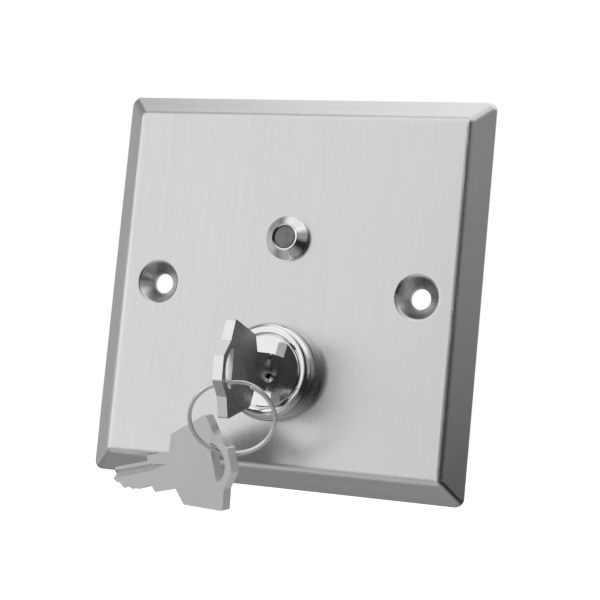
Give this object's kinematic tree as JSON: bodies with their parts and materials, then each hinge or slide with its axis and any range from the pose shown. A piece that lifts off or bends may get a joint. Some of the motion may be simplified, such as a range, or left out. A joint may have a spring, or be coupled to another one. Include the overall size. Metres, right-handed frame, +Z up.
{
  "type": "selector key switch",
  "caption": "Dished square wall plate with a key-operated rotary switch, an indicator, a key in the lock and a spare key on a ring.",
  "frame": {"origin": "centre of the plate's back rim, midway between the two fixing holes, on the wall plane", "axes": "+X to the right seen from the front, +Z up, +Y into the wall, the front faces -Y"},
  "size_m": [0.086, 0.0573, 0.091],
  "materials": {
    "brushed_stainless": "brushed, grain upright",
    "polished_chrome": "polished",
    "mirror_chrome": "mirror polished",
    "smoked_lens": "clear smoked",
    "nickel_silver": "satin",
    "ring_steel": "polished",
    "brass": "bright",
    "spring_steel": "bright",
    "zinc_steel": "zinc plated",
    "black_plastic": "moulded",
    "grey_plastic": "moulded",
    "red_plastic": "moulded",
    "tinned_brass": "tinned"
  },
  "bodies": {
    "plate": {"face_plate": "brushed_stainless", "lock_housing": "polished_chrome", "lock_washer": "zinc_steel", "lock_nut": "zinc_steel", "switch_bracket": "zinc_steel", "switch_case": "black_plastic", "switch_cover": "grey_plastic", "common_terminal": "tinned_brass", "open_terminal": "tinned_brass", "closed_terminal": "tinned_brass", "switch_screws": "zinc_steel", "switch_nuts": "zinc_steel", "led_holder": "polished_chrome", "led_body": "smoked_lens", "led_legs": "tinned_brass", "led_sleeve": "black_plastic", "led_washer": "spring_steel", "led_nut": "zinc_steel"},
    "plug": {"lock_plug": "mirror_chrome", "wafer_springs": "spring_steel", "stop_washer": "zinc_steel", "cam": "zinc_steel", "cam_washer": "spring_steel", "cam_screw": "zinc_steel"},
    "wafer_stack": {"wafers": "brass"},
    "plunger": {"switch_plunger": "red_plastic"},
    "contact": {"contact_blade": "brass"},
    "key": {"inserted_key": "nickel_silver"},
    "ring": {"key_ring": "ring_steel"},
    "spare": {"spare_key": "nickel_silver"}
  },
  "joints": [
    {"name": "plug_turn", "type": "hinge", "parent": "plate", "child": "plug", "pos_m": [0, 0, -0.0182], "axis": [0, 1, 0], "range_deg": [0, 90]},
    {"name": "key_slide", "type": "slide", "parent": "plug", "child": "key", "axis": [0, -0.9993, -0.0384], "range_m": [0, 0.016]},
    {"name": "wafer_drop", "type": "slide", "parent": "plug", "child": "wafer_stack", "axis": [0, 0, -1], "range_m": [0, 0.0008], "deforming": ["wafer_springs"]},
    {"name": "ring_swing", "type": "hinge", "parent": "key", "child": "ring", "pos_m": [0, -0.03208, -0.02199], "axis": [0.9536, 0.2199, 0.2057], "range_deg": [-70, 4]},
    {"name": "spare_key_swing", "type": "hinge", "parent": "ring", "child": "spare", "pos_m": [-0.0033, -0.0233, -0.03587], "axis": [0.8581, 0.4743, -0.1966], "range_deg": [-60, 8]},
    {"name": "plunger_press", "type": "slide", "parent": "plate", "child": "plunger", "axis": [0, 0, 1], "range_m": [0, 0.00071]},
    {"name": "contact_lift", "type": "hinge", "parent": "plate", "child": "contact", "pos_m": [-0.0074, 0.0164, -0.00218], "axis": [0, -1, 0], "range_deg": [0, 5.5]}
  ],
  "couplings": [
    {"joint": "wafer_drop", "follows": "key_slide", "ratio": 0.05},
    {"joint": "plunger_press", "follows": "plug_turn", "m_per_rad": 0.00044563},
    {"joint": "contact_lift", "follows": "plug_turn", "ratio": 0.060311}
  ]
}
